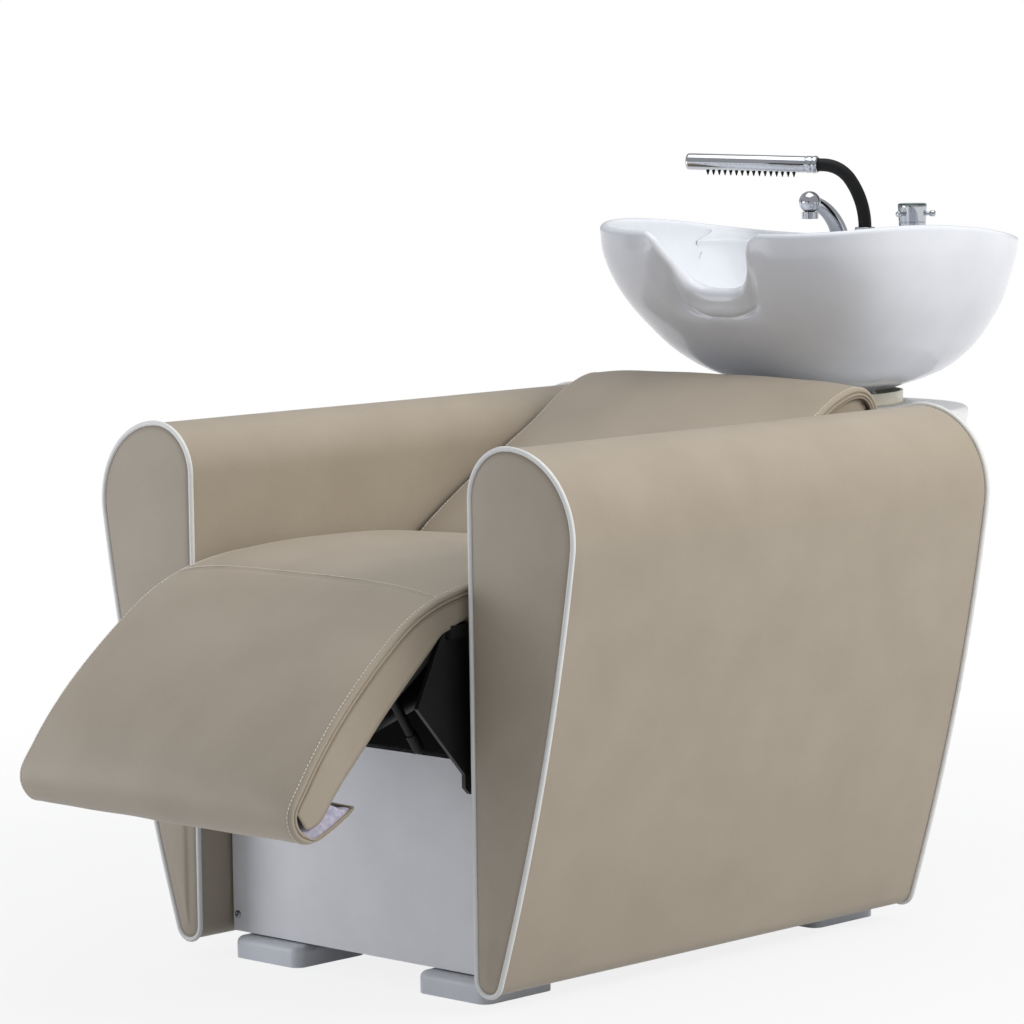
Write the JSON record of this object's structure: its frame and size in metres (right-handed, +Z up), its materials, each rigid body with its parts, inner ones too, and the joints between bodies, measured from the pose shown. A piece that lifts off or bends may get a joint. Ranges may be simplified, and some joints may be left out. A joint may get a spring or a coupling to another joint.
{
  "type": "hair washing bed",
  "caption": "Padded reclining wash seat with drop-shaped arms, hinged motorised leg rest, cabinet-mounted tilting ceramic bowl with neck notch, spout, mixer and spray bar.",
  "frame": {"origin": "on the floor, under the middle of the length and the width", "axes": "+Z up, +Y from the leg rest towards the bowl, +X to the left arm of a sitter"},
  "size_m": [0.8194, 1.462, 0.9764],
  "materials": {
    "leatherette": "fine grained taupe leatherette, satin",
    "piping": "smooth off-white vinyl",
    "timber": "plywood, unfinished",
    "foot_plastic": "light grey moulded",
    "black_steel": "black powder coat",
    "white_sheet": "white-grey satin paint",
    "cabinet_sheet": "pale grey satin paint",
    "screw_steel": "zinc plated",
    "bumper_rubber": "matte black",
    "actuator_plastic": "fine textured black",
    "bright_steel": "drawn steel",
    "control_plastic": "dark grey, fine texture",
    "sleeve_plastic": "cream",
    "ceramic": "glossy white glaze",
    "chrome": "polished",
    "cap_plastic": "dark green, glossy",
    "waste_plastic": "light grey drain pipe",
    "brass": "turned brass",
    "hose_rubber": "matte black"
  },
  "bodies": {
    "base": {"left_arm_cover": "leatherette", "right_arm_cover": "leatherette", "left_arm_front_panel": "leatherette", "right_arm_front_panel": "leatherette", "left_arm_rear_panel": "leatherette", "right_arm_rear_panel": "leatherette", "seat_cushion": "leatherette", "back_cushion": "leatherette", "left_arm_piping": "piping", "right_arm_piping": "piping", "left_arm_core": "timber", "right_arm_core": "timber", "left_side_board": "timber", "right_side_board": "timber", "rear_board": "timber", "seat_board": "timber", "back_board": "timber", "left_front_foot": "foot_plastic", "right_front_foot": "foot_plastic", "left_rear_foot": "foot_plastic", "right_rear_foot": "foot_plastic", "left_rail": "black_steel", "right_rail": "black_steel", "front_cross_rail": "black_steel", "left_hinge_plate": "black_steel", "right_hinge_plate": "black_steel", "actuator_beam": "black_steel", "front_panel": "white_sheet", "rear_cabinet": "cabinet_sheet", "column_fork": "cabinet_sheet", "panel_screws": "screw_steel", "hinge_pins": "screw_steel", "actuator_rear_pin": "screw_steel", "tilt_pins": "screw_steel", "control_plate": "control_plastic", "column_sleeve": "sleeve_plastic", "waste_outlet": "waste_plastic", "inlet_fittings": "brass"},
    "legrest": {"legrest_board": "timber", "legrest_cushion": "leatherette", "legrest_frame": "black_steel", "bumper_rods": "bumper_rubber", "actuator_front_pin": "screw_steel"},
    "actuator_housing": {"actuator_body": "actuator_plastic"},
    "actuator_shaft": {"actuator_rod": "bright_steel"},
    "bowl_unit": {"bowl": "ceramic", "bowl_bracket": "cabinet_sheet", "waste_strainer": "chrome", "waste_tail": "waste_plastic", "mixer_base": "chrome", "hose_gland": "chrome"},
    "spout_swivel": {"spout": "chrome"},
    "aerator_ball": {"aerator": "chrome"},
    "mixer_handle": {"mixer_knob": "chrome", "mixer_cap": "cap_plastic"},
    "hose_arm": {"hose": "hose_rubber"},
    "spray": {"spray_bar": "chrome", "spray_nozzles": "hose_rubber"},
    "up_button": {"raise_button": "control_plastic"},
    "down_button": {"lower_button": "control_plastic"}
  },
  "joints": [
    {"name": "legrest_tilt", "type": "hinge", "parent": "base", "child": "legrest", "pos_m": [0, -0.476, 0.466], "axis": [-1, 0, 0], "range_deg": [-22, 38]},
    {"name": "actuator_swing", "type": "hinge", "parent": "base", "child": "actuator_housing", "pos_m": [0, -0.25772, 0.38269], "axis": [-1, 0, 0], "range_deg": [-11, 19]},
    {"name": "actuator_pivot", "type": "hinge", "parent": "legrest", "child": "actuator_shaft", "pos_m": [0, -0.61296, 0.27673], "axis": [-1, 0, 0], "range_deg": [-19, 11]},
    {"name": "bowl_tilt", "type": "hinge", "parent": "base", "child": "bowl_unit", "pos_m": [0, 0.50401, 0.65], "axis": [-1, 0, 0], "range_deg": [-4, 7]},
    {"name": "spout_turn", "type": "hinge", "parent": "bowl_unit", "child": "spout_swivel", "pos_m": [-0.13, 0.669, 0.857], "axis": [0, 0, 1], "range_deg": [-60, 60]},
    {"name": "aerator_tilt", "type": "hinge", "parent": "spout_swivel", "child": "aerator_ball", "pos_m": [-0.13, 0.60601, 0.909], "axis": [-1, 0, 0], "range_deg": [0, 20]},
    {"name": "mixer_turn", "type": "hinge", "parent": "bowl_unit", "child": "mixer_handle", "pos_m": [0, 0.669, 0.868], "axis": [0, 0, 1], "range_deg": [-60, 60]},
    {"name": "hose_turn", "type": "hinge", "parent": "bowl_unit", "child": "hose_arm", "pos_m": [-0.084, 0.669, 0.857], "axis": [0, 0, 1], "range_deg": [-60, 90]},
    {"name": "spray_twist", "type": "hinge", "parent": "hose_arm", "child": "spray", "pos_m": [-0.14107, 0.63828, 0.9592], "axis": [-0.88, -0.4739, 0.0314], "range_deg": [-90, 90]},
    {"name": "raise_press", "type": "slide", "parent": "base", "child": "up_button", "axis": [1, 0, 0], "range_m": [0, 0.0015], "stiffness_N_per_m": 500, "springref_m": -0.002},
    {"name": "lower_press", "type": "slide", "parent": "base", "child": "down_button", "axis": [1, 0, 0], "range_m": [0, 0.0015], "stiffness_N_per_m": 500, "springref_m": -0.002}
  ],
  "couplings": [
    {"joint": "actuator_swing", "follows": "legrest_tilt", "ratio": 0.5},
    {"joint": "actuator_pivot", "follows": "legrest_tilt", "ratio": -0.5}
  ]
}
